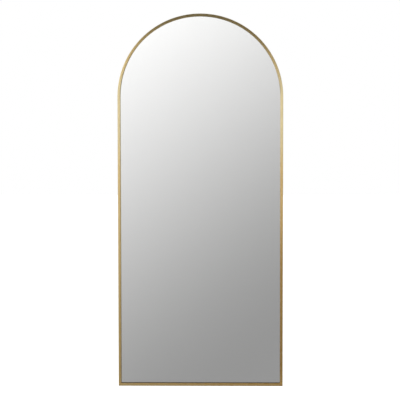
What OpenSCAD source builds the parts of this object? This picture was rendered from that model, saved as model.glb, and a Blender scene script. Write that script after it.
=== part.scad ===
// Arched wall mirror: a slim gold metal frame round a sheet of silvered float glass. The back is
// closed by a fibre board that swivelling buttons hold in, two steel braces tie the side rails
// together, and two folding rings hang the mirror on wall hooks.
//
// +Z is up, the mirror faces -Y and the wall is the plane y = 0. The origin is on the wall,
// midway between the two hooks. Across the frame section, u runs inward from the frame's outer
// edge and w runs out from the wall. All sizes are in millimetres.

/* [Overall] */
// width of the frame, outside to outside
overall_w = 750; // [700:10:800]
// height of the frame, from its bottom edge to the crown of the arch
overall_h = 1700; // [1600:10:1800]
// gap between the wall and the rear face of the frame
stand_off = 8; // [8:0.5:10]

/* [Frame section] */
// width of the front face
face_w = 13; // [12:0.5:15]
// how far the front face stands in front of the glazing tape
lip_d = 11; // [8:0.5:14]
// width of the rear leg, which the glass and the board sit inside
leg_w = 8; // [8:0.5:8.5]
// wall thickness of the hollow section
wall_t = 1.5; // [1.2:0.1:1.6]
// rounding of the two front edges
edge_r = 0.8; // [0.4:0.1:1]

/* [Glass and back] */
// thickness of the float glass
glass_t = 4; // [3:1:5]
// thickness of the glazing tape
tape_t = 1; // [0.6:0.1:1.5]
// thickness of the cushion sheet
foam_t = 2.3; // [1.5:0.1:3]
// thickness of the back board
board_t = 6; // [4:0.5:8]

/* [Braces] */
// height of a brace
brace_h = 40; // [40:1:50]
// height of the lower brace above the bottom edge
brace_low_z = 560; // [450:10:650]

/* [Hanging rings] */
// distance of each ring from the middle
ring_x = 220; // [150:10:300]
// distance of the wall hooks below the spring line of the arch
hook_drop = 35; // [35:5:80]
// thickness of the ring's wire
ring_wire = 3.2; // [3:0.1:3.2]
// width of the ring, between the middles of its two legs
ring_w = 22; // [21:0.5:26]
// straight length of the ring's legs
ring_leg = 8; // [7:0.5:9]

/* [Turn buttons and bumpers] */
// reach of a turn button from its screw to its tip
button_reach = 20; // [16:1:22]
// thickness of a turn button
button_t = 1.5; // [1:0.1:1.6]
// height of the lower pair of side buttons above the bottom edge
button_low_z = 290; // [200:10:380]
// height of the upper pair of side buttons above the bottom edge
button_high_z = 900; // [750:10:1050]
// distance of the bottom buttons from the middle
button_bottom_x = 180; // [120:10:260]
// position of the arch buttons, in degrees up from the spring line
button_arch_a = 52; // [35:1:65]
// radius of a bumper where it is stuck to the board
bumper_r = 9; // [8:0.5:11]

/* [Hidden] */
$fn = 64;
silver_t = 0.15;
film_t = 0.25;
board_gap = 0.3;
frame_d = lip_d + tape_t + glass_t + silver_t + film_t + foam_t + board_t + board_gap;
front_w = stand_off + frame_d;
lip_w = front_w - lip_d;
rear_w = stand_off;
glass_w = lip_w - tape_t;
silver_w = glass_w - glass_t;
film_w = silver_w - silver_t;
foam_w = film_w - film_t;
board_w = foam_w - foam_t;
back_w = board_w - board_t;
frame_r = overall_w / 2;
spring_z = overall_h - frame_r;
hang_h = spring_z - hook_drop;
tape_back = 1.5;
glass_in = leg_w + 1;
glass_foot = leg_w + 2;
board_in = leg_w + 0.6;
fit = 0.05;
mid_u = leg_w / 2;
key_leg = 60;
angle_leg = 40;
splice_down = 40;
splice_a = 5.6;
key_screw_at = [25, 47];
splice_screw_down = [12, 29];
splice_screw_a = [1.9, 4.4];
shank_r = 2;
head_r = 3.5;
head_h = 2;
brace_t = 2;
brace_end = frame_r - 0.3;
brace_face_w = rear_w - brace_t;
strap_t = 1;
strap_w = 14;
strap_len = 34;
strap_face_w = brace_face_w - strap_t;
wire_r = ring_wire / 2;
barrel_r = wire_r + fit + 1;
pivot_w = strap_face_w - 0.3 - wire_r;
ring_reach = ring_leg + ring_w / 2 - wire_r;
pivot_z = hang_h - ring_reach;
brace_up_z = pivot_z + 6 - brace_h / 2;
brace_screw_dz = brace_h / 2 - 8;
strap_screws = [10, 27];
button_r = 4;
collar_t = 0.2;
button_w = rear_w - collar_t - 0.1;
side_button_z = [button_low_z, button_high_z];
bumper_at = [[-310, 70], [310, 70], [-200, spring_z + 190], [200, spring_z + 190]];
gold = [0.78, 0.66, 0.46];
steel = [0.72, 0.73, 0.74];
screw_steel = [0.62, 0.62, 0.60];
rubber = [0.08, 0.08, 0.08];

// moves what is drawn from the bottom edge to the origin between the hooks
module from_bottom() translate([0, 0, -hang_h]) children();

// the same shape on the other side of the middle
module flip() mirror([1, 0, 0]) children();

// extrudes a drawing of the front view, from w1 away from the wall by t
module plate(w1, t) rotate([90, 0, 0]) translate([0, 0, w1]) linear_extrude(height = t) children();

// a round bar or hole along Y at (x, z), from w1 to w2
module bar_y(x, z, w1, w2, r) translate([x, -w1, z]) rotate([90, 0, 0]) cylinder(h = w2 - w1, r = r);

// ---- frame section -------------------------------------------------------------------------

// hollow L: a front leg that shows, and a rear leg that the glass and the board sit inside
module rail_section() difference() {
    union() {
        translate([0, lip_w]) square([face_w, lip_d - edge_r]);
        translate([edge_r, lip_w]) square([face_w - 2 * edge_r, lip_d]);
        translate([edge_r, front_w - edge_r]) circle(r = edge_r);
        translate([face_w - edge_r, front_w - edge_r]) circle(r = edge_r);
        translate([0, rear_w]) square([leg_w, lip_w - rear_w + 1]);
    }
    translate([wall_t, lip_w + wall_t]) square([face_w - 2 * wall_t, lip_d - 2 * wall_t]);
    translate([wall_t, rear_w + wall_t]) square([leg_w - 2 * wall_t, lip_w - rear_w - wall_t]);
}

// a hole through the rear wall of a rail
module rear_hole(x, z, r) bar_y(x, z, rear_w - 1, rear_w + wall_t + 1, r);

module side_rail() difference() {
    intersection() {
        translate([frame_r, 0, 0]) linear_extrude(height = spring_z) rotate(180) rail_section();
        plate(0, front_w + 1)
            polygon([[frame_r + 1, -1], [frame_r - 30, 30], [frame_r - 30, spring_z + 1], [frame_r + 1, spring_z + 1]]);
    }
    for (a = key_screw_at) rear_hole(frame_r - mid_u, a, shank_r + fit);
    for (d = splice_screw_down) rear_hole(frame_r - mid_u, spring_z - d, shank_r + fit);
    for (c = [brace_low_z, brace_up_z], s = [-1, 1]) rear_hole(frame_r - mid_u, c + s * brace_screw_dz, shank_r + fit);
    for (z = side_button_z) rear_hole(frame_r - mid_u, z, shank_r + fit);
}

module bottom_rail() color(gold) from_bottom() difference() {
    intersection() {
        rotate([0, 90, 0]) linear_extrude(height = overall_w, center = true) rotate(180) rail_section();
        plate(0, front_w + 1)
            polygon([[-frame_r - 1, -1], [frame_r + 1, -1], [frame_r - 30, 30], [-frame_r + 30, 30]]);
    }
    for (s = [-1, 1]) {
        for (a = key_screw_at) rear_hole(s * (frame_r - a), mid_u, shank_r + fit);
        rear_hole(s * button_bottom_x, mid_u, shank_r + fit);
    }
}

// a point on the middle of the arch's rear face, a degrees up from the right end
function arch_x(a) = (frame_r - mid_u) * cos(a);
function arch_z(a) = spring_z + (frame_r - mid_u) * sin(a);

module arch_rail() color(gold) from_bottom() difference() {
    translate([0, 0, spring_z]) rotate([90, 0, 0])
        rotate_extrude(angle = 180, $fn = 180) translate([frame_r, 0]) mirror([1, 0]) rail_section();
    for (a = splice_screw_a, b = [a, 180 - a]) rear_hole(arch_x(b), arch_z(b), shank_r + fit);
    for (b = [button_arch_a, 180 - button_arch_a]) rear_hole(arch_x(b), arch_z(b), shank_r + fit);
}

module side_rail_right() color(gold) from_bottom() side_rail();
module side_rail_left() color(gold) from_bottom() flip() side_rail();

// ---- keys inside the frame -----------------------------------------------------------------

module corner_key() difference() {
    plate(rear_w + wall_t + fit, lip_w - rear_w - wall_t - 2 * fit)
        polygon([
            [frame_r - wall_t - fit, wall_t + fit], [frame_r - wall_t - fit, key_leg],
            [frame_r - leg_w + wall_t + fit, key_leg],
            [frame_r - leg_w + wall_t + fit, leg_w - wall_t - fit],
            [frame_r - key_leg, leg_w - wall_t - fit], [frame_r - key_leg, wall_t + fit]]);
    for (a = key_screw_at) {
        bar_y(frame_r - mid_u, a, rear_w, rear_w + 10, shank_r + 0.02);
        bar_y(frame_r - a, mid_u, rear_w, rear_w + 10, shank_r + 0.02);
    }
}
module corner_key_right() color(steel) from_bottom() corner_key();
module corner_key_left() color(steel) from_bottom() flip() corner_key();

module corner_angle() plate(front_w - wall_t - 1.6, 1.5)
    polygon([
        [frame_r - wall_t - 0.1, wall_t + 0.1], [frame_r - wall_t - 0.1, angle_leg],
        [frame_r - face_w + wall_t + 0.1, angle_leg],
        [frame_r - face_w + wall_t + 0.1, face_w - wall_t - 0.1],
        [frame_r - angle_leg, face_w - wall_t - 0.1], [frame_r - angle_leg, wall_t + 0.1]]);
module corner_angle_right() color(steel) from_bottom() corner_angle();
module corner_angle_left() color(steel) from_bottom() flip() corner_angle();

// straight below the spring line and curved with the arch above it
module joint_key() difference() {
    union() {
        translate([frame_r - leg_w + wall_t + fit, -(lip_w - fit), spring_z - splice_down])
            cube([leg_w - 2 * wall_t - 2 * fit, lip_w - rear_w - wall_t - 2 * fit, splice_down]);
        translate([0, 0, spring_z]) rotate([90, 0, 0]) rotate_extrude(angle = splice_a, $fn = 180)
            translate([frame_r - leg_w + wall_t + fit, rear_w + wall_t + fit])
                square([leg_w - 2 * wall_t - 2 * fit, lip_w - rear_w - wall_t - 2 * fit]);
    }
    for (d = splice_screw_down) bar_y(frame_r - mid_u, spring_z - d, rear_w, rear_w + 10, shank_r + 0.02);
    for (a = splice_screw_a) bar_y(arch_x(a), arch_z(a), rear_w, rear_w + 10, shank_r + 0.02);
}
module joint_key_right() color(steel) from_bottom() joint_key();
module joint_key_left() color(steel) from_bottom() flip() joint_key();

// ---- screws --------------------------------------------------------------------------------

// pan-head screw along Y: its head sits on the plane w and its shank goes len into the mirror
module pan_screw(x, z, w, len, r = head_r, h = head_h) translate([x, -w, z]) rotate([90, 0, 0]) difference() {
    union() {
        cylinder(h = len, r = shank_r);
        translate([0, 0, -h * 0.55]) cylinder(h = h * 0.55, r = r);
        translate([0, 0, -h]) cylinder(h = h * 0.45, r1 = r * 0.68, r2 = r);
    }
    for (t = [45, 135]) rotate(t) translate([-r * 0.5, -0.35, -h - 0.1]) cube([r, 0.7, h * 0.6]);
}

module key_screws() color(screw_steel) from_bottom() {
    for (s = [-1, 1]) {
        for (a = key_screw_at) {
            pan_screw(s * (frame_r - mid_u), a, rear_w, 9);
            pan_screw(s * (frame_r - a), mid_u, rear_w, 9);
        }
        for (d = splice_screw_down) pan_screw(s * (frame_r - mid_u), spring_z - d, rear_w, 9);
        for (a = splice_screw_a) pan_screw(s * arch_x(a), arch_z(a), rear_w, 9);
    }
}

module brace_screws() color(screw_steel) from_bottom()
    for (s = [-1, 1], c = [brace_low_z, brace_up_z], t = [-1, 1])
        pan_screw(s * (frame_r - mid_u), c + t * brace_screw_dz, brace_face_w, 8);

module hanger_screws() color(screw_steel) from_bottom()
    for (s = [-1, 1], d = strap_screws) pan_screw(s * ring_x, pivot_z - d, strap_face_w, strap_t + brace_t, 4, 1.2);

// ---- glass and back ------------------------------------------------------------------------

// the arched outline, e inside the frame's outer edge at the sides and foot above its bottom
module arched(e, foot) {
    translate([-(frame_r - e), foot]) square([2 * (frame_r - e), spring_z - foot]);
    translate([0, spring_z]) intersection() {
        circle(r = frame_r - e, $fn = 180);
        translate([-frame_r, 0]) square([2 * frame_r, frame_r]);
    }
}

module mirror_glass() color([0.80, 0.88, 0.86, 0.4]) from_bottom() plate(silver_w, glass_t) arched(glass_in, glass_foot);
module silver_coating() color([0.86, 0.87, 0.88]) from_bottom() plate(film_w, silver_t) arched(glass_in, glass_foot);
module safety_film() color([0.55, 0.60, 0.66]) from_bottom() plate(foam_w, film_t) arched(glass_in, glass_foot);
module foam_sheet() color([0.90, 0.90, 0.88]) from_bottom() plate(board_w, foam_t) arched(glass_in, glass_foot);
module backing_board() color([0.55, 0.42, 0.29]) from_bottom() plate(back_w, board_t) arched(board_in, board_in);

module glazing_tape() color(rubber) from_bottom() plate(glass_w, tape_t) difference() {
    arched(leg_w + 0.6, leg_w + 0.6);
    arched(face_w - tape_back, face_w - tape_back);
}

module setting_blocks() color(rubber) from_bottom()
    for (s = [-1, 1]) translate([s * overall_w / 4 - 30, -(glass_w - 0.1), leg_w])
        cube([60, glass_w - board_w - 0.2, glass_foot - leg_w]);

// ---- braces --------------------------------------------------------------------------------

module brace(c, hung) plate(brace_face_w, brace_t) difference() {
    union() {
        translate([-brace_end, c - brace_h / 2 + 3]) square([2 * brace_end, brace_h - 6]);
        translate([-brace_end + 3, c - brace_h / 2]) square([2 * brace_end - 6, brace_h]);
        for (s = [-1, 1], t = [-1, 1])
            translate([s * (brace_end - 3), c + t * (brace_h / 2 - 3)]) circle(r = 3);
    }
    for (s = [-1, 1], t = [-1, 1])
        translate([s * (frame_r - mid_u), c + t * brace_screw_dz]) circle(r = shank_r + 0.15);
    if (hung) for (s = [-1, 1], d = strap_screws)
        translate([s * ring_x, pivot_z - d]) circle(r = shank_r + 0.02);
}
module brace_upper() color(steel) from_bottom() brace(brace_up_z, true);
module brace_lower() color(steel) from_bottom() brace(brace_low_z, false);

// ---- hangers -------------------------------------------------------------------------------

// a strap screwed to the brace, folded round the ring's bar into a barrel at its top end
module hanger_plate() difference() {
    union() {
        plate(strap_face_w, strap_t) translate([ring_x, pivot_z]) {
            translate([-strap_w / 2, -strap_len + strap_w / 2]) square([strap_w, strap_len - strap_w / 2]);
            translate([0, -strap_len + strap_w / 2]) circle(r = strap_w / 2);
        }
        translate([ring_x - strap_w / 2, -pivot_w, pivot_z]) rotate([0, 90, 0]) cylinder(h = strap_w, r = barrel_r);
        translate([ring_x - strap_w / 2, 0, pivot_z]) rotate([90, 0, 90]) linear_extrude(height = strap_w)
            polygon([[-pivot_w + barrel_r * 0.94, -0.9], [-strap_face_w - 0.5, -5.4], [-strap_face_w - 0.5, 0],
                [-pivot_w, 0]]);
    }
    translate([ring_x - strap_w, -pivot_w, pivot_z]) rotate([0, 90, 0]) cylinder(h = 2 * strap_w, r = wire_r + fit);
    for (d = strap_screws) bar_y(ring_x, pivot_z - d, 0, brace_face_w + 1, shank_r + 0.15);
}
module hanger_plate_right() color(steel) from_bottom() hanger_plate();
module hanger_plate_left() color(steel) from_bottom() flip() hanger_plate();

// a D of round wire: a straight bar in the barrel, two legs and a half-round end, drawn folded
// up as it is on its wall hook
module hanger_ring() translate([ring_x, -pivot_w, pivot_z]) {
    translate([-ring_w / 2, 0, 0]) rotate([0, 90, 0]) cylinder(h = ring_w, r = wire_r);
    for (s = [-1, 1]) {
        translate([s * ring_w / 2, 0, 0]) sphere(r = wire_r);
        translate([s * ring_w / 2, 0, 0]) cylinder(h = ring_leg, r = wire_r);
    }
    translate([0, 0, ring_leg]) rotate([90, 0, 0]) rotate_extrude(angle = 180)
        translate([ring_w / 2, 0]) circle(r = wire_r);
}
module hanger_ring_right() color(screw_steel) from_bottom() hanger_ring();
module hanger_ring_left() color(screw_steel) from_bottom() flip() hanger_ring();

// ---- turn buttons --------------------------------------------------------------------------

// a flat steel button on its screw at (x, z), pointing a degrees round from +X
module button(x, z, a) plate(button_w - button_t, button_t) translate([x, z]) rotate(a) difference() {
    union() {
        circle(r = button_r);
        translate([0, -button_r]) square([button_reach - button_r, 2 * button_r]);
        translate([button_reach - button_r, 0]) circle(r = button_r);
    }
    circle(r = shank_r + fit);
}
// x, z and pointing direction of each button, numbered from the bottom left up and round
buttons = [
    [-button_bottom_x, mid_u, 90],
    [-(frame_r - mid_u), button_low_z, 0],
    [-(frame_r - mid_u), button_high_z, 0],
    [-arch_x(button_arch_a), arch_z(button_arch_a), -button_arch_a],
    [arch_x(button_arch_a), arch_z(button_arch_a), 180 + button_arch_a],
    [frame_r - mid_u, button_high_z, 180],
    [frame_r - mid_u, button_low_z, 180],
    [button_bottom_x, mid_u, 90]];
module turn_button(i) color(steel) from_bottom() button(buttons[i - 1][0], buttons[i - 1][1], buttons[i - 1][2]);

// shoulder screw: a thin collar under the button, a head over it and a shank into the rail
module button_screws() color(screw_steel) from_bottom() for (b = buttons) {
    pan_screw(b[0], b[1], button_w - button_t - 0.1, button_t + 0.1 + collar_t + 0.1 + 7, 3.8, 2);
    bar_y(b[0], b[1], rear_w - collar_t, rear_w, 3.2);
}

// ---- bumpers -------------------------------------------------------------------------------

module wall_bumpers() color(rubber) from_bottom()
    for (p = bumper_at) translate([p[0], 0, p[1]]) rotate([90, 0, 0]) cylinder(h = back_w, r1 = bumper_r - 2, r2 = bumper_r);

arch_rail();
side_rail_left();
side_rail_right();
bottom_rail();
mirror_glass();
silver_coating();
glazing_tape();
safety_film();
foam_sheet();
setting_blocks();
backing_board();
corner_key_left();
corner_key_right();
corner_angle_left();
corner_angle_right();
joint_key_left();
joint_key_right();
key_screws();
brace_upper();
brace_lower();
brace_screws();
hanger_plate_left();
hanger_plate_right();
hanger_ring_left();
hanger_ring_right();
hanger_screws();
turn_button(1);  // turn_button_1
turn_button(2);  // turn_button_2
turn_button(3);  // turn_button_3
turn_button(4);  // turn_button_4
turn_button(5);  // turn_button_5
turn_button(6);  // turn_button_6
turn_button(7);  // turn_button_7
turn_button(8);  // turn_button_8
button_screws();
wall_bumpers();
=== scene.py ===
import math

import bmesh
import bpy
from mathutils import Matrix, Vector


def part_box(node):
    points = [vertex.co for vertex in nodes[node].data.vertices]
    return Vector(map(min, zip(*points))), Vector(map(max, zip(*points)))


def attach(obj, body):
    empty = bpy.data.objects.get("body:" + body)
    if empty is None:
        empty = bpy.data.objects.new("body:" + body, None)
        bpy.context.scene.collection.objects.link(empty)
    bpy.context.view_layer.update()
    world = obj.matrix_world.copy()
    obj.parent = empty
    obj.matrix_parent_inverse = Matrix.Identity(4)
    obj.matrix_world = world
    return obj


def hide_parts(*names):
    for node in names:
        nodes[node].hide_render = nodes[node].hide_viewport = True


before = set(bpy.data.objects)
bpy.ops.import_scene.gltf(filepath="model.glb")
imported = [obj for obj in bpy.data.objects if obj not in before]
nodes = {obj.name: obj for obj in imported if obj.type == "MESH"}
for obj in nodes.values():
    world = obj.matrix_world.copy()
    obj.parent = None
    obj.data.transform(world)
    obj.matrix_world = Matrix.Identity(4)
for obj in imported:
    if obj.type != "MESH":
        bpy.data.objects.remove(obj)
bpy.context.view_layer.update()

# ---- sizes, in metres, in the shared frame: origin on the wall between the hooks, front is -Y ------

R = 0.375                      # half the width, and the radius of the arch
ZB = -1.290                    # bottom edge
ZS = 0.035                     # spring line of the arch
PROFILE_FRONT = 0.033          # front face, out from the wall
REAR = 0.008                   # rear face of the frame
LIP = 0.022                    # back of the front leg
FACE = 0.013                   # width of the front face
LEG = 0.008                    # width of the rear leg


# ---- small helpers ---------------------------------------------------------------------------------

def new_object(name, bm, angle=35.0, weighted=True, bevel=None):
    """An object from a bmesh: smooth shading, sharp edges by angle."""
    me = bpy.data.meshes.new(name)
    bmesh.ops.recalc_face_normals(bm, faces=bm.faces[:])
    bm.to_mesh(me)
    bm.free()
    for p in me.polygons:
        p.use_smooth = True
    me.set_sharp_from_angle(angle=math.radians(angle))
    ob = bpy.data.objects.new(name, me)
    bpy.context.scene.collection.objects.link(ob)
    if bevel:
        b = ob.modifiers.new("edges", "BEVEL")
        b.width, b.segments, b.limit_method, b.angle_limit = bevel, 2, "ANGLE", math.radians(40)
        b.harden_normals = False
    if weighted:
        w = ob.modifiers.new("normals", "WEIGHTED_NORMAL")
        w.keep_sharp, w.weight = True, 90
    return ob


class Graph:
    """Short spelling for building a node tree."""

    def __init__(self, tree):
        self.t = tree

    def node(self, kind, props=None, **inputs):
        n = self.t.nodes.new(kind)
        for k, v in (props or {}).items():
            setattr(n, k, v)
        for k, v in inputs.items():
            self.put(n.inputs[k.replace("_", " ")], v)
        return n

    def put(self, socket, v):
        if isinstance(v, bpy.types.NodeSocket):
            self.t.links.new(v, socket)
        elif v is not None:
            socket.default_value = v

    def m(self, op, a, b=None, c=None, clamp=False):
        n = self.t.nodes.new("ShaderNodeMath")
        n.operation, n.use_clamp = op, clamp
        for i, v in enumerate((a, b, c)):
            if v is not None:
                self.put(n.inputs[i], v)
        return n.outputs[0]

    def v(self, op, a, b=None):
        n = self.t.nodes.new("ShaderNodeVectorMath")
        n.operation = op
        self.put(n.inputs[0], a)
        if b is not None:
            self.put(n.inputs[1], b)
        return n.outputs["Value"] if op in ("LENGTH", "DOT_PRODUCT", "DISTANCE") else n.outputs["Vector"]

    def scaled(self, vec, x, y, z):
        return self.v("MULTIPLY", vec, (x, y, z))

    def smooth(self, x, lo, hi, a=0.0, b=1.0):
        n = self.t.nodes.new("ShaderNodeMapRange")
        n.interpolation_type = "SMOOTHSTEP"
        self.put(n.inputs["Value"], x)
        for k, v in (("From Min", lo), ("From Max", hi), ("To Min", a), ("To Max", b)):
            self.put(n.inputs[k], v)
        return n.outputs["Result"]

    def linear(self, x, lo, hi, a=0.0, b=1.0, clamp=True):
        n = self.t.nodes.new("ShaderNodeMapRange")
        n.clamp = clamp
        self.put(n.inputs["Value"], x)
        for k, v in (("From Min", lo), ("From Max", hi), ("To Min", a), ("To Max", b)):
            self.put(n.inputs[k], v)
        return n.outputs["Result"]

    def noise(self, vec, scale=1.0, detail=3.0, rough=0.5, distortion=0.0):
        n = self.t.nodes.new("ShaderNodeTexNoise")
        self.put(n.inputs["Vector"], vec)
        for k, v in (("Scale", scale), ("Detail", detail), ("Roughness", rough), ("Distortion", distortion)):
            n.inputs[k].default_value = v
        return n.outputs["Fac"]

    def ramp(self, x, stops, how="LINEAR"):
        n = self.t.nodes.new("ShaderNodeValToRGB")
        n.color_ramp.interpolation = how
        e = n.color_ramp.elements
        while len(e) < len(stops):
            e.new(0.5)
        for el, (p, c) in zip(e, stops):
            el.position = p
            el.color = (c, c, c, 1.0) if isinstance(c, (int, float)) else (*c, 1.0)
        self.put(n.inputs["Fac"], x)
        return n.outputs["Color"]

    def mix(self, fac, a, b, how="MIX"):
        n = self.t.nodes.new("ShaderNodeMix")
        n.data_type, n.blend_type = "RGBA", how
        n.clamp_factor = True
        self.put(n.inputs["Factor"], fac)
        for i, v in ((6, a), (7, b)):
            if isinstance(v, bpy.types.NodeSocket):
                self.t.links.new(v, n.inputs[i])
            else:
                n.inputs[i].default_value = (*v, 1.0) if len(v) == 3 else v
        return n.outputs[2]

    def bump(self, height, strength, distance, normal=None):
        n = self.t.nodes.new("ShaderNodeBump")
        n.inputs["Strength"].default_value = strength
        n.inputs["Distance"].default_value = distance
        self.put(n.inputs["Height"], height)
        if normal is not None:
            self.put(n.inputs["Normal"], normal)
        return n.outputs["Normal"]

    def point(self):
        return self.t.nodes.new("ShaderNodeTexCoord").outputs["Object"]

    def uv(self, name):
        n = self.t.nodes.new("ShaderNodeUVMap")
        n.uv_map = name
        return n.outputs["UV"]

    def attribute(self, name):
        n = self.t.nodes.new("ShaderNodeAttribute")
        n.attribute_name = name
        return n.outputs["Fac"]


def material(name, metallic=0.0, roughness=0.5, **sockets):
    m = bpy.data.materials.new(name)
    m.use_nodes = True
    m.node_tree.nodes.clear()
    g = Graph(m.node_tree)
    out = g.node("ShaderNodeOutputMaterial")
    p = g.node("ShaderNodeBsdfPrincipled")
    m.node_tree.links.new(p.outputs[0], out.inputs[0])
    p.inputs["Metallic"].default_value = metallic
    p.inputs["Roughness"].default_value = roughness
    for k, v in sockets.items():
        p.inputs[k.replace("_", " ")].default_value = v
    return m, g, p


# ---- materials -------------------------------------------------------------------------------------

def gold_brushed():
    """Satin anodised aluminium, brushed along each rail. UV map 'Brush' is in metres, along and round the section. The
    base colour also holds painted light and shade, which varies with height and side.
    """
    m, g, p = material("gold_frame", metallic=1.0, roughness=0.45)
    p.inputs["Anisotropic"].default_value = 1.0
    p.inputs["Anisotropic Rotation"].default_value = 0.25
    uv = g.uv("Brush")
    fine = g.noise(g.scaled(uv, 14.0, 4200.0, 1.0), detail=3.0, rough=0.55)
    mid = g.noise(g.scaled(uv, 5.0, 900.0, 1.0), detail=2.0, rough=0.5)
    broad = g.noise(g.scaled(uv, 2.2, 60.0, 1.0), detail=2.0, rough=0.5)
    cloud = g.noise(g.point(), scale=9.0, detail=2.0)
    wear = g.attribute("wear")
    worn = g.m("MULTIPLY", wear, g.smooth(g.noise(g.point(), scale=60.0, detail=4.0, rough=0.65), 0.42, 0.62))
    lines = g.m("ADD", g.m("MULTIPLY", fine, 0.5), g.m("MULTIPLY", mid, 0.5))
    tone = g.m("ADD", g.m("MULTIPLY", g.m("SUBTRACT", lines, 0.5), 0.16),
               g.m("MULTIPLY", g.m("SUBTRACT", broad, 0.5), 0.07))
    at = g.node("ShaderNodeSeparateXYZ", Vector=g.point())
    # painted light and shade: the base colour runs from a lighter tone towards the upper left to a darker one towards
    # the lower right
    drift = g.smooth(g.m("SUBTRACT", g.m("MAXIMUM", at.outputs["Z"], -0.95), at.outputs["X"]), -1.25, -0.15)
    # painted shade: the arch is darker towards its crown, and darker again in a narrow band at the apex
    crown = g.smooth(at.outputs["Z"], 0.16, 0.40)
    drift = g.m("MULTIPLY", drift, g.m("SUBTRACT", 1.0, g.m("MULTIPLY", crown, 0.45)))
    shade = g.mix(drift, (0.715, 0.457, 0.157), (0.865, 0.645, 0.294))
    shade = g.mix(g.m("MULTIPLY", crown, 0.80), shade, (0.410, 0.320, 0.142))
    shade = g.mix(g.m("MULTIPLY", g.smooth(at.outputs["Z"], 0.360, 0.408), 0.45), shade, (0.25, 0.195, 0.085))
    # painted highlight: a paler, greener tone on the rails and the arch around the spring line
    pale = g.m("MULTIPLY", g.smooth(at.outputs["Z"], -0.36, -0.10), g.smooth(at.outputs["Z"], 0.22, 0.06))
    shade = g.mix(g.m("MULTIPLY", pale, 0.70), shade, (0.825, 0.722, 0.425))
    # painted shade: a deeper, darker tone along the lower part of the right rail
    painted_shade_right = g.m("MULTIPLY", g.smooth(g.m("SUBTRACT", g.m("MAXIMUM", at.outputs["Z"], -0.95), at.outputs["X"]), -0.85, -1.15),
               g.smooth(at.outputs["Z"], -1.28, -1.20))
    shade = g.mix(g.m("MULTIPLY", painted_shade_right, 0.85), shade, (0.550, 0.330, 0.100))
    # painted light and shade: the bottom rail is a little darker along its lower edge and lighter above
    foot = g.smooth(at.outputs["Z"], -1.2862, -1.2800)
    near = g.smooth(at.outputs["Z"], -1.2700, -1.2765)
    shade = g.mix(near, shade, g.mix(1.0, shade, g.mix(foot, (0.84, 0.84, 0.86), (1.20, 1.20, 1.22)), "MULTIPLY"))
    base = g.mix(1.0, shade, g.mix(g.m("ADD", 0.5, g.m("MULTIPLY", tone, 2.0)), (0.90, 0.89, 0.86), (1.10, 1.11, 1.14)), "MULTIPLY")
    base = g.mix(g.linear(cloud, 0.35, 0.65, 0.0, 0.5), base, shade)
    base = g.mix(g.m("MULTIPLY", worn, 0.55), base, (0.90, 0.78, 0.56))
    # painted shade: the inner wall darkens towards the glass, most of all along the bottom rail
    deep = g.attribute("deep")
    floor = g.smooth(at.outputs["Z"], -1.262, -1.272)
    recess_shade = g.mix(floor, (0.27, 0.18, 0.070), (0.150, 0.088, 0.034))
    base = g.mix(g.m("MULTIPLY", deep, g.m("ADD", 0.45, g.m("MULTIPLY", floor, 0.37))), base, recess_shade)
    g.put(p.inputs["Base Color"], base)
    rough = g.m("ADD", g.linear(lines, 0.3, 0.7, 0.30, 0.40), g.m("MULTIPLY", worn, -0.10))
    g.put(p.inputs["Roughness"], g.m("ADD", rough, g.m("MULTIPLY", g.m("SUBTRACT", cloud, 0.5), 0.06)))
    t = g.node("ShaderNodeTangent", {"direction_type": "UV_MAP", "uv_map": "Brush"})
    g.put(p.inputs["Tangent"], t.outputs[0])
    g.put(p.inputs["Normal"], g.bump(lines, 0.25, 0.00003))
    return m


def glass_clear():
    m, g, p = material("float_glass", roughness=0.0, Transmission_Weight=1.0, IOR=1.52)
    smear = g.noise(g.point(), scale=7.0, detail=4.0, rough=0.6)
    g.put(p.inputs["Base Color"], g.mix(smear, (0.990, 0.992, 0.990), (0.993, 0.995, 0.993)))
    return m


def silver():
    m, g, p = material("mirror_silver", metallic=1.0, roughness=0.0)
    drift = g.noise(g.point(), scale=3.0, detail=2.0)
    g.put(p.inputs["Base Color"], g.mix(drift, (0.960, 0.957, 0.955), (0.968, 0.965, 0.963)))
    return m


def plain(name, a, b, scale, rough_a, rough_b, bump=0.0, distance=0.0002, metallic=0.0, stretch=(1, 1, 1), detail=4.0):
    """Two tones and two roughnesses laid by noise, with a bump from the same noise."""
    m, g, p = material(name, metallic=metallic)
    n = g.noise(g.scaled(g.point(), *stretch), scale=scale, detail=detail, rough=0.6)
    g.put(p.inputs["Base Color"], g.mix(g.linear(n, 0.3, 0.7), a, b))
    g.put(p.inputs["Roughness"], g.linear(n, 0.3, 0.7, rough_a, rough_b))
    if bump:
        g.put(p.inputs["Normal"], g.bump(n, bump, distance))
    return m


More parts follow.
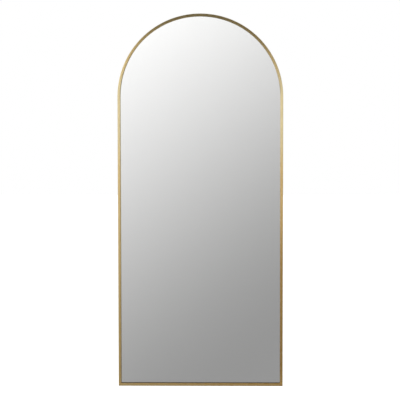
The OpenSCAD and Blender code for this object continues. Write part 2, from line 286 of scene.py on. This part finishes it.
def fibre_board():
    """Raw fibre board: pressed fibres, a few dark chips, a slightly sanded face."""
    m, g, p = material("fibre_board")
    at = g.point()
    warp = g.v("ADD", at, g.scaled(g.node("ShaderNodeTexNoise", Vector=at, Scale=35.0, Detail=2.0).outputs["Color"], 0.012, 0.012, 0.012))
    fibres = g.noise(g.scaled(warp, 520.0, 300.0, 230.0), detail=4.0, rough=0.65)
    fibres_b = g.noise(g.scaled(warp, 210.0, 300.0, 560.0), detail=4.0, rough=0.65)
    felt = g.noise(at, scale=620.0, detail=5.0, rough=0.7)
    cloud = g.noise(at, scale=5.0, detail=3.0, rough=0.5)
    press = g.noise(g.scaled(at, 14.0, 14.0, 5.0), detail=3.0, rough=0.55)
    chips = g.node("ShaderNodeTexVoronoi", {"feature": "F1"}, Vector=g.scaled(warp, 300.0, 300.0, 150.0)).outputs["Distance"]
    dark = g.smooth(chips, 0.15, 0.05)
    f = g.m("ADD", g.m("MULTIPLY", g.m("ADD", fibres, fibres_b), 0.22), g.m("MULTIPLY", felt, 0.56))
    base = g.ramp(g.linear(f, 0.32, 0.68), [(0.0, (0.25, 0.155, 0.085)), (0.5, (0.37, 0.245, 0.145)), (1.0, (0.50, 0.350, 0.220))])
    base = g.mix(g.linear(cloud, 0.3, 0.7, 0.0, 0.35), base, (0.27, 0.172, 0.095))
    base = g.mix(g.linear(press, 0.35, 0.65, 0.0, 0.22), base, (0.44, 0.300, 0.185))
    base = g.mix(g.m("MULTIPLY", dark, 0.55), base, (0.10, 0.06, 0.035))
    g.put(p.inputs["Base Color"], base)
    g.put(p.inputs["Roughness"], g.linear(f, 0.3, 0.7, 0.78, 0.62))
    g.put(p.inputs["Normal"], g.bump(f, 0.5, 0.0002))
    return m


def plated(name, tone, rough, spangle=55.0, scratch=0.6):
    """Zinc-plated steel: faint patches, fine scratches, a thin dull bloom."""
    m, g, p = material(name, metallic=1.0)
    at = g.point()
    cell = g.node("ShaderNodeTexVoronoi", {"feature": "F1"}, Vector=at, Scale=spangle).outputs["Color"]
    patch = g.v("DOT_PRODUCT", cell, (0.33, 0.33, 0.33))
    haze = g.noise(at, scale=24.0, detail=4.0, rough=0.6)
    a = g.noise(g.scaled(at, 90.0, 90.0, 3200.0), detail=2.0)
    b = g.noise(g.scaled(at, 2600.0, 90.0, 120.0), detail=2.0)
    lines = g.m("MULTIPLY", g.smooth(g.m("MAXIMUM", a, b), 0.62, 0.76), scratch)
    lo = tuple(c * 0.80 for c in tone)
    hi = tuple(min(1.0, c * 1.14) for c in tone)
    base = g.mix(g.m("ADD", g.m("MULTIPLY", patch, 0.35), g.m("MULTIPLY", haze, 0.65)), lo, hi)
    base = g.mix(g.m("MULTIPLY", lines, 0.5), base, tuple(min(1.0, c * 1.3) for c in tone))
    g.put(p.inputs["Base Color"], base)
    g.put(p.inputs["Roughness"], g.m("ADD", g.linear(haze, 0.3, 0.7, rough - 0.07, rough + 0.10), g.m("MULTIPLY", lines, -0.06)))
    g.put(p.inputs["Normal"], g.bump(g.m("ADD", haze, lines), 0.25, 0.00006))
    return m


MATS = {
    "gold_frame": gold_brushed(),
    "float_glass": glass_clear(),
    "mirror_silver": silver(),
    "clear_film": plain("clear_film", (0.42, 0.47, 0.54), (0.50, 0.55, 0.62), 20.0, 0.25, 0.40, 0.1),
    "cushion_foam": plain("cushion_foam", (0.74, 0.74, 0.71), (0.84, 0.84, 0.81), 900.0, 0.85, 0.95, 0.6, 0.0004),
    "tape_foam": plain("tape_foam", (0.018, 0.018, 0.018), (0.035, 0.035, 0.034), 1200.0, 0.75, 0.92, 0.5, 0.0002),
    "black_rubber": plain("black_rubber", (0.026, 0.026, 0.026), (0.050, 0.049, 0.047), 700.0, 0.42, 0.62, 0.35, 0.0002),
    "fibre_board": fibre_board(),
    "die_cast_keys": plated("die_cast_keys", (0.52, 0.53, 0.54), 0.50, 120.0, 0.2),
    "spring_steel": plated("spring_steel", (0.60, 0.61, 0.62), 0.32),
    "zinc_brace": plated("zinc_brace", (0.44, 0.45, 0.47), 0.42, 48.0),
    "zinc_strap": plated("zinc_strap", (0.76, 0.76, 0.75), 0.28, 90.0),
    "ring_wire": plated("ring_wire", (0.86, 0.86, 0.84), 0.18, 160.0, 0.4),
    "button_steel": plated("button_steel", (0.80, 0.78, 0.73), 0.28, 150.0),
    "screw_steel": plated("screw_steel", (0.66, 0.65, 0.63), 0.26, 200.0, 0.3),
}

SLOT_OF = {
    "mirror_glass": "float_glass", "silver_coating": "mirror_silver", "safety_film": "clear_film",
    "foam_sheet": "cushion_foam", "glazing_tape": "tape_foam", "setting_blocks": "black_rubber",
    "wall_bumpers": "black_rubber", "backing_board": "fibre_board", "brace_screws": "screw_steel",
    "key_screws": "screw_steel", "hanger_screws": "screw_steel", "button_screws": "screw_steel",
}
for side in ("left", "right"):
    SLOT_OF["side_rail_" + side] = "gold_frame"
    SLOT_OF["corner_key_" + side] = "die_cast_keys"
    SLOT_OF["joint_key_" + side] = "die_cast_keys"
    SLOT_OF["corner_angle_" + side] = "spring_steel"
    SLOT_OF["hanger_plate_" + side] = "zinc_strap"
    SLOT_OF["hanger_ring_" + side] = "ring_wire"
for end in ("upper", "lower"):
    SLOT_OF["brace_" + end] = "zinc_brace"
for i in range(1, 9):
    SLOT_OF["turn_button_%d" % i] = "button_steel"
SLOT_OF["arch_rail"] = SLOT_OF["bottom_rail"] = "gold_frame"


def finish_piece(ob, slot, body, *stands_for):
    ob.data.materials.clear()
    ob.data.materials.append(MATS[slot])
    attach(ob, body)
    if stands_for:
        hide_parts(*stands_for)
    return ob


# ---- the frame: hollow section swept along four rails ------------------------------------------------

def arc(cu, cw, r, a0, a1, steps):
    return [(cu + r * math.cos(math.radians(a0 + (a1 - a0) * k / steps)),
             cw + r * math.sin(math.radians(a0 + (a1 - a0) * k / steps))) for k in range(steps + 1)]


def outer_section(inset=0.0):
    """Outline of the section as (u inward from the outer edge, w out from the wall), where it shows wear, and the
    weight of the painted shade on the inner wall.
    """
    e, q, s = 0.0019, 0.0036, 0.00025
    i = inset
    pts, wear, deep = [], [], []

    def add(more, worn, low=0.0):
        for p in more:
            pts.append(p)
            wear.append(worn)
            deep.append(low)
    add(arc(s + i, REAR + s + i, s, 180, 270, 2), 0.4)
    add(arc(LEG - s - i, REAR + s + i, s, 270, 360, 2), 0.4)
    add([(LEG - i, LIP + i)], 0.0)
    add(arc(FACE - s - i, LIP + s + i, s, 270, 360, 2), 0.3, 1.0)
    add([(FACE - i, LIP + 0.0035)], 0.1, 0.9)
    add([(FACE - i, PROFILE_FRONT - q - 0.0006)], 0.15, 0.8)
    add(arc(FACE - q - i, PROFILE_FRONT - q - i, q, 0, 90, 10), 0.4)
    add([(FACE - q - 0.0006, PROFILE_FRONT - i)], 0.15)
    add([(e + 0.0008, PROFILE_FRONT - i)], 0.15)
    add(arc(e + i, PROFILE_FRONT - e - i, e, 90, 180, 8), 0.5)
    add([(i, PROFILE_FRONT - e - 0.0008)], 0.15)
    return pts, wear, deep


T = 0.0015
CHAMBERS = [
    [(T, LIP + T), (FACE - T, LIP + T), (FACE - T, PROFILE_FRONT - T), (T, PROFILE_FRONT - T)],
    [(T, REAR + T), (LEG - T, REAR + T), (LEG - T, LIP - T), (T, LIP - T)],
]
GROOVE = 0.00014


def rail(name, stations, body="frame"):
    """stations is a list of (end inset, place) where place(u, w) gives a point and t, the distance along in metres."""
    bm = bmesh.new()
    brush = bm.loops.layers.uv.new("Brush")
    baked = bm.loops.layers.uv.new("OFBake")
    worn = bm.verts.layers.float.new("wear")
    # deep carries the weight of the painted shade on the inner wall
    sunk = bm.verts.layers.float.new("deep")
    rings, holes = [], []
    for inset, place, t in stations:
        ring = []
        for (u, w), k, low in zip(*outer_section(inset)):
            v = bm.verts.new(place(u, w))
            v[worn] = min(1.0, k + (0.5 if inset else 0.0))
            v[sunk] = low
            ring.append(v)
        rings.append((ring, t))
    for shape in CHAMBERS:
        first, last = stations[0][1], stations[-1][1]
        inner = [[bm.verts.new(place(u, w)) for u, w in shape] for _, place, _ in stations]
        holes.append(inner)
    pts = outer_section()[0]
    round_len = [0.0]
    for a, b in zip(pts, pts[1:] + pts[:1]):
        round_len.append(round_len[-1] + math.dist(a, b))
    total, length = round_len[-1], stations[-1][2]
    n = len(pts)
    for (a, ta), (b, tb) in zip(rings, rings[1:]):
        for k in range(n):
            j = (k + 1) % n
            f = bm.faces.new((a[k], a[j], b[j], b[k]))
            for loop, (tt, rr) in zip(f.loops, ((ta, round_len[k]), (ta, round_len[k + 1]), (tb, round_len[k + 1]), (tb, round_len[k]))):
                loop[brush].uv = (tt, rr)
                loop[baked].uv = (0.004 + 0.93 * tt / length, 0.004 + 0.90 * rr / total)
    for h, inner in enumerate(holes):
        for a, b, sa, sb in zip(inner, inner[1:], stations, stations[1:]):
            for k in range(4):
                j = (k + 1) % 4
                f = bm.faces.new((a[j], a[k], b[k], b[j]))
                y0 = 0.915 + 0.04 * h + 0.008 * k
                for loop, (tt, yy) in zip(f.loops, ((sa[2], y0 + 0.007), (sa[2], y0), (sb[2], y0), (sb[2], y0 + 0.007))):
                    loop[brush].uv = (tt, yy)
                    loop[baked].uv = (0.004 + 0.93 * tt / length, yy)
    for end, (inset, place, t) in ((0, stations[0]), (-1, stations[-1])):
        loops = [rings[end][0]] + [inner[end] for inner in holes]
        edges = []
        for ring in loops:
            for k in range(len(ring)):
                e = bm.edges.get((ring[k], ring[(k + 1) % len(ring)]))
                edges.append(e)
        where = {v: uv for ring, uvs in zip(loops, [outer_section(inset)[0]] + CHAMBERS) for v, uv in zip(ring, uvs)}
        made = bmesh.ops.triangle_fill(bm, use_beauty=True, use_dissolve=False, edges=edges)
        for f in [g for g in made["geom"] if isinstance(g, bmesh.types.BMFace)]:
            for loop in f.loops:
                u, w = where[loop.vert]
                loop[brush].uv = (u, w)
                loop[baked].uv = (0.945 + u * 3.0, (0.1 if end else 0.5) + w * 3.0)
    ob = new_object(name, bm, angle=40)
    return finish_piece(ob, "gold_frame", body)


def straight_stations(start, finish, mitre_start, mitre_finish, along, place):
    """Stations of a straight rail from start to finish, with a hairline chamfer at both ends.
    A mitred end runs u further in for each u across the section."""
    out = []
    length = abs(finish - start)
    sgn = 1 if finish > start else -1
    marks = [0.0, GROOVE] + [length * k / along for k in range(1, along)] + [length - GROOVE, length]
    for t in marks:
        inset = GROOVE if t in (0.0, length) else 0.0
        f = t / length

        def at(u, w, t=t, f=f):
            lo = start + sgn * (u if mitre_start else 0.0)
            hi = finish - sgn * (u if mitre_finish else 0.0)
            if t <= GROOVE:
                q = lo + sgn * t
            elif t >= length - GROOVE:
                q = hi - sgn * (length - t)
            else:
                q = lo + (hi - lo) * f
            return place(q, u, w)
        out.append((inset, at, t))
    return out


right = rail("rail_right", straight_stations(ZB, ZS, True, False, 12, lambda q, u, w: Vector((R - u, -w, q))))
left = rail("rail_left", straight_stations(ZB, ZS, True, False, 12, lambda q, u, w: Vector((u - R, -w, q))))
bottom = rail("rail_bottom", straight_stations(-R, R, True, True, 8, lambda q, u, w: Vector((q, -w, ZB + u))))

arch_n = 144
arch_length = math.pi * R
arch_stations = []
end_a = GROOVE / R
angles = [0.0, end_a] + [math.pi * k / arch_n for k in range(1, arch_n)] + [math.pi - end_a, math.pi]
for a in angles:
    arch_stations.append((GROOVE if a in (0.0, math.pi) else 0.0,
                          (lambda u, w, a=a: Vector(((R - u) * math.cos(a), -w, ZS + (R - u) * math.sin(a)))), a * R))
arch = rail("rail_arch", arch_stations)
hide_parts("side_rail_right")
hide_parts("side_rail_left")
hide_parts("bottom_rail")
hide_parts("arch_rail")


# ---- flat arched sheets ------------------------------------------------------------------------------

def arched_sheet(name, edge, foot, w_back, w_front, chamfer, steps=160):
    """A sheet with the arched outline, edge inside the frame's outer edge and foot above its bottom edge, both edges broken by a chamfer."""
    def outline(e):
        r = R - edge - e
        pts = [(-r, ZB + foot + e), (r, ZB + foot + e)]
        pts += [(r * math.cos(math.pi * k / steps), ZS + r * math.sin(math.pi * k / steps)) for k in range(steps + 1)]
        return pts
    layers = [(chamfer, w_back), (0.0, w_back + chamfer), (0.0, w_front - chamfer), (chamfer, w_front)]
    bm = bmesh.new()
    rings = [[bm.verts.new((x, -w, z)) for x, z in outline(e)] for e, w in layers]
    for a, b in zip(rings, rings[1:]):
        for k in range(len(a)):
            j = (k + 1) % len(a)
            bm.faces.new((a[k], a[j], b[j], b[k]))
    bm.faces.new(rings[0])
    bm.faces.new(rings[-1][::-1])
    return new_object(name, bm, angle=30)


pane = arched_sheet("glass_pane", 0.009, 0.010, 0.01702, 0.02098, 0.0007)
finish_piece(pane, "float_glass", "frame", "mirror_glass")
board = arched_sheet("back_board", 0.0086, 0.0086, 0.0083, 0.0143, 0.0004)
finish_piece(board, "fibre_board", "frame", "backing_board")


# ---- hanging rings: one wire bent to a D --------------------------------------------------------------

def d_ring(name, cx, body, node):
    wire, half, leg, bend = 0.0016, 0.011, 0.008, 0.0024
    cy, cz = -0.0031, -0.0174
    path = []
    path += [(half - bend + bend * math.sin(math.radians(a)), bend - bend * math.cos(math.radians(a))) for a in range(0, 91, 15)]
    path += [(half * math.cos(math.radians(a)), leg + half * math.sin(math.radians(a))) for a in range(0, 181, 9)]
    path += [(-half + bend - bend * math.cos(math.radians(a)), bend - bend * math.sin(math.radians(a))) for a in range(0, 91, 15)]
    clean = []
    for p in path:
        if not clean or math.dist(p, clean[-1]) > 1e-6:
            clean.append(p)
    bm = bmesh.new()
    rings, n, sides = [], len(clean), 20
    for k, (x, z) in enumerate(clean):
        a, b = Vector(clean[k - 1]), Vector(clean[(k + 1) % n])
        d = (b - a).normalized()
        side = Vector((-d.y, d.x))
        rings.append([bm.verts.new((cx + x + wire * math.cos(2 * math.pi * s / sides) * side.x,
                                    cy + wire * math.sin(2 * math.pi * s / sides),
                                    cz + z + wire * math.cos(2 * math.pi * s / sides) * side.y)) for s in range(sides)])
    for k in range(n):
        a, b = rings[k], rings[(k + 1) % n]
        for s in range(sides):
            t = (s + 1) % sides
            bm.faces.new((a[s], a[t], b[t], b[s]))
    ob = new_object(name, bm, angle=60, weighted=False)
    return finish_piece(ob, "ring_wire", body, node)


d_ring("wire_ring_left", -0.220, "ring_left", "hanger_ring_left")
d_ring("wire_ring_right", 0.220, "ring_right", "hanger_ring_right")


# ---- rubber bumpers ------------------------------------------------------------------------------------

def bumpers():
    lo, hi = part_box("wall_bumpers")
    spots = [(-0.310, ZB + 0.070), (0.310, ZB + 0.070), (-0.200, ZS + 0.190), (0.200, ZS + 0.190)]
    base_r, tip_r, base_w, f = 0.009, 0.007, 0.0083, 0.0011
    outline = [(0.0, base_w), (base_r - 0.0002, base_w), (base_r, base_w - 0.0003)]
    lean = math.atan2(base_r - tip_r, base_w)
    cr, cw = tip_r - f + 0.0001, f
    for k in range(7):
        a = lean + (math.pi / 2 - lean) * k / 6
        outline.append((cr + f * math.cos(a), cw - f * math.sin(a)))
    outline += [(0.0034, 0.0), (0.0030, 0.0002), (0.0026, 0.0008), (0.0, 0.0010)]
    bm = bmesh.new()
    sides = 48
    for x, z in spots:
        rings = []
        for r, w in outline:
            if r == 0.0:
                rings.append([bm.verts.new((x, -w, z))])
            else:
                rings.append([bm.verts.new((x + r * math.cos(2 * math.pi * s / sides), -w, z + r * math.sin(2 * math.pi * s / sides))) for s in range(sides)])
        for a, b in zip(rings, rings[1:]):
            for s in range(sides):
                t = (s + 1) % sides
                if len(a) == 1:
                    bm.faces.new((a[0], b[t], b[s]))
                elif len(b) == 1:
                    bm.faces.new((a[s], a[t], b[0]))
                else:
                    bm.faces.new((a[s], a[t], b[t], b[s]))
    ob = new_object("rubber_bumpers", bm, angle=50, weighted=False)
    return finish_piece(ob, "black_rubber", "frame", "wall_bumpers")


bumpers()


# ---- CAD nodes that stay: materials, and broken edges on the sheet-metal parts ---------------------------

SOFT_EDGE = {"brace_upper": 0.00022, "brace_lower": 0.00022, "hanger_plate_left": 0.00014, "hanger_plate_right": 0.00014,
             "corner_key_left": 0.0002, "corner_key_right": 0.0002, "joint_key_left": 0.0002, "joint_key_right": 0.0002,
             "corner_angle_left": 0.00015, "corner_angle_right": 0.00015, "setting_blocks": 0.0003}
SOFT_EDGE.update({"turn_button_%d" % i: 0.00022 for i in range(1, 9)})
SOFT_EDGE.update({n: 0.0001 for n in ("brace_screws", "key_screws", "hanger_screws", "button_screws")})
for name, ob in nodes.items():
    ob.data.materials.clear()
    ob.data.materials.append(MATS[SLOT_OF[name]])
    if name in SOFT_EDGE:
        w = ob.modifiers.new("weld", "WELD")
        w.merge_threshold = 0.000002
        if not name.startswith(("hanger_plate", "joint_key")):
            # not on faces with holes in them, which stay cut up so that each is whole after the bevel
            d = ob.modifiers.new("flats", "DECIMATE")
            d.decimate_type, d.angle_limit = "DISSOLVE", math.radians(0.5)
        b = ob.modifiers.new("edges", "BEVEL")
        b.width, b.segments, b.limit_method, b.angle_limit = SOFT_EDGE[name], 2, "ANGLE", math.radians(40)
        n = ob.modifiers.new("normals", "WEIGHTED_NORMAL")
        n.keep_sharp = True


# ---- the studio: white backdrop, soft panels, pale floor --------------------------------------------------

def studio():
    world = bpy.data.worlds.new("studio")
    bpy.context.scene.world = world
    world.use_nodes = True
    world.node_tree.nodes.clear()
    g = Graph(world.node_tree)
    d = g.node("ShaderNodeTexCoord").outputs["Generated"]
    sep = g.node("ShaderNodeSeparateXYZ", Vector=d)
    x, y, z = sep.outputs
    depth = g.m("MAXIMUM", g.m("ABSOLUTE", y), 0.02)
    tx, tz = g.m("DIVIDE", x, depth), g.m("DIVIDE", z, depth)
    # what the mirror shows: one soft diagonal fall-off from the upper left to the lower right
    fx = g.m("ADD", g.m("MULTIPLY", tx, 1.3882), 0.0082)
    fz = g.m("ADD", g.m("MULTIPLY", tz, 1.3882), 0.0758)
    s = g.m("SUBTRACT", g.m("MULTIPLY", fx, 0.754), fz)
    t = g.linear(s, -0.0613, 0.1646)
    rest = g.m("SUBTRACT", 1.0, t)
    fall = g.m("MULTIPLY", g.m("MULTIPLY", rest, rest), g.m("ADD", 1.0, g.m("MULTIPLY", t, 0.75)))
    fall = g.m("ADD", 0.32, g.m("MULTIPLY", fall, 0.81))
    # and it falls off gently again higher up, where only a lower or level view looks
    fall = g.mix(g.smooth(s, -0.072, -0.225), fall, g.mix(1.0, fall, (0.60, 0.60, 0.60), "MULTIPLY"))
    # a soft panel on each side, bright above the horizon; the left one is taller and reaches lower
    left = g.smooth(tx, 0.12, -0.12)
    psi = g.linear(g.m("ARCTAN2", g.m("ADD", z, 0.061), g.m("ABSOLUTE", x)), 0.0, math.pi / 2)
    up_l = g.ramp(psi, [(0.0, 1.0), (0.15, 1.05), (0.30, 0.92), (0.44, 0.64), (0.56, 0.24), (0.66, 0.09), (0.78, 0.06), (1.0, 0.07)], "LINEAR")
    up_r = g.ramp(psi, [(0.0, 1.0), (0.08, 0.82), (0.20, 0.55), (0.32, 0.33), (0.45, 0.13), (0.58, 0.05), (1.0, 0.07)], "LINEAR")
    zz = g.linear(g.m("MAXIMUM", z, g.m("ADD", g.m("MULTIPLY", z, 1.388), 0.0758)), -1.0, 0.1)
    low_l = g.ramp(zz, [(0.0, 0.36), (0.30, 0.43), (0.45, 0.53), (0.60, 0.72), (0.70, 0.40), (0.74, 0.30), (0.79, 0.22), (0.822, 0.44), (0.850, 1.20), (0.878, 1.84), (0.93, 1.84), (1.0, 1.50)], "LINEAR")
    low_r = g.ramp(zz, [(0.0, 0.82), (0.36, 0.62), (0.62, 0.26), (0.73, 0.12), (0.80, 0.09), (0.825, 0.20), (0.855, 0.86), (0.885, 1.44), (0.93, 1.50), (1.0, 1.40)], "LINEAR")
    side = g.mix(left, g.mix(1.0, up_r, low_r, "MULTIPLY"), g.mix(1.0, up_l, low_l, "MULTIPLY"))
    # far to the sides the panels are never brighter than a pale grey
    pale = g.mix(1.0, side, (0.82, 0.82, 0.82), "DARKEN")
    side = g.mix(g.smooth(g.m("ABSOLUTE", x), 0.66, 0.82), side, pale)
    # broad soft bands, so that the mirror shows a gentle fall-off from every other side too
    band = g.m("SINE", g.m("ADD", g.m("MULTIPLY", g.m("SUBTRACT", g.m("MULTIPLY", g.m("ADD", x, g.m("MULTIPLY", y, 0.35)), 0.60), z), 13.0), 4.2))
    bands = g.linear(band, -1.0, 1.0, 0.76, 1.12)
    side = g.mix(1.0, side, bands, "MULTIPLY")
    # a low soft panel to the right, seen in the mirror from the left
    low_panel = g.m("MULTIPLY", g.smooth(x, 0.50, 0.64), g.m("MULTIPLY", g.smooth(x, 0.90, 0.78), g.smooth(z, -0.60, -0.05, 0.26, 0.74)))
    low_panel = g.m("MULTIPLY", low_panel, g.smooth(z, 0.10, 0.0))
    side = g.mix(1.0, side, g.mix(low_panel, (0.0, 0.0, 0.0), (1.0, 1.0, 1.0)), "LIGHTEN")
    # a broad soft light straight overhead
    side = g.mix(g.smooth(z, 0.62, 0.92), side, (0.50, 0.50, 0.50))
    calm = g.mix(1.0, side, (0.80, 0.80, 0.80), "DARKEN")
    side = g.mix(g.smooth(g.m("ABSOLUTE", y), 0.50, 0.20), side, calm)
    column = g.smooth(g.m("ABSOLUTE", g.m("ADD", fx, 0.018)), 0.105, 0.055)
    inside = g.m("MULTIPLY", g.m("MULTIPLY", column, g.smooth(fz, 0.560, 0.160)), g.smooth(fz, -0.32, -0.195))
    front = g.mix(inside, side, fall)
    # behind the mirror: an even soft room, brighter overhead
    back = g.ramp(g.linear(z, -1.0, 1.0), [(0.0, 0.50), (0.45, 0.52), (0.62, 0.80), (0.85, 0.95), (1.0, 0.90)], "EASE")
    back = g.mix(1.0, back, bands, "MULTIPLY")
    light = g.mix(g.smooth(y, -0.12, 0.12), front, back)
    # the room is lighter on the left than on the right
    level = g.smooth(g.m("ABSOLUTE", g.m("ADD", z, 0.04)), 0.42, 0.18)
    light = g.mix(g.m("MULTIPLY", g.smooth(x, 0.72, 0.96), level), light, g.mix(1.0, light, (0.27, 0.27, 0.27), "MULTIPLY"))
    light = g.mix(g.smooth(x, -0.78, -0.98), light, g.mix(1.0, light, (1.35, 1.35, 1.35), "MULTIPLY"))
    seen = g.node("ShaderNodeLightPath").outputs["Is Camera Ray"]
    colour = g.mix(seen, light, (1.0, 1.0, 1.0))
    bg = g.node("ShaderNodeBackground", Color=colour, Strength=1.0)
    out = g.node("ShaderNodeOutputWorld")
    world.node_tree.links.new(bg.outputs[0], out.inputs[0])

    bm = bmesh.new()
    bmesh.ops.create_grid(bm, x_segments=24, y_segments=24, size=9.0)
    bmesh.ops.translate(bm, verts=bm.verts[:], vec=(0.0, 0.0, ZB - 0.060))
    floor = new_object("studio_floor", bm, weighted=False)
    m, g, p = material("pale_floor", roughness=0.9)
    n = g.noise(g.point(), scale=3.0, detail=2.0)
    g.put(p.inputs["Base Color"], g.mix(n, (0.86, 0.86, 0.86), (0.88, 0.88, 0.88)))
    p.inputs["Specular IOR Level"].default_value = 0.1
    p.inputs["Emission Color"].default_value = (1.0, 1.0, 1.0, 1.0)
    p.inputs["Emission Strength"].default_value = 0.75
    floor.data.materials.append(m)
    floor.visible_glossy = False
    floor.visible_transmission = False


studio()


# ---- camera ------------------------------------------------------------------------------------------------

def camera():
    cam = bpy.data.cameras.new("camera")
    cam.sensor_width, cam.lens = 36.0, 249.19
    cam.clip_start, cam.clip_end = 0.05, 60.0
    ob = bpy.data.objects.new("camera", cam)
    bpy.context.scene.collection.objects.link(ob)
    pitch, yaw, roll = math.radians(6.010), math.radians(-1.075), math.radians(-0.063)
    fwd = Vector((math.sin(yaw) * math.cos(pitch), math.cos(yaw) * math.cos(pitch), -math.sin(pitch)))
    side = Vector((math.cos(yaw), -math.sin(yaw), 0.0))
    up = side.cross(fwd)
    s2 = side * math.cos(roll) + up * math.sin(roll)
    u2 = up * math.cos(roll) - side * math.sin(roll)
    m = Matrix((s2, u2, -fwd)).transposed().to_4x4()
    m.translation = Vector((0.2327, -12.533, 0.8816))
    ob.matrix_world = m
    bpy.context.scene.camera = ob


camera()
view = bpy.context.scene.view_settings
view.view_transform, view.look, view.exposure, view.gamma = "Standard", "None", 0.0, 1.0

bpy.context.view_layer.update()
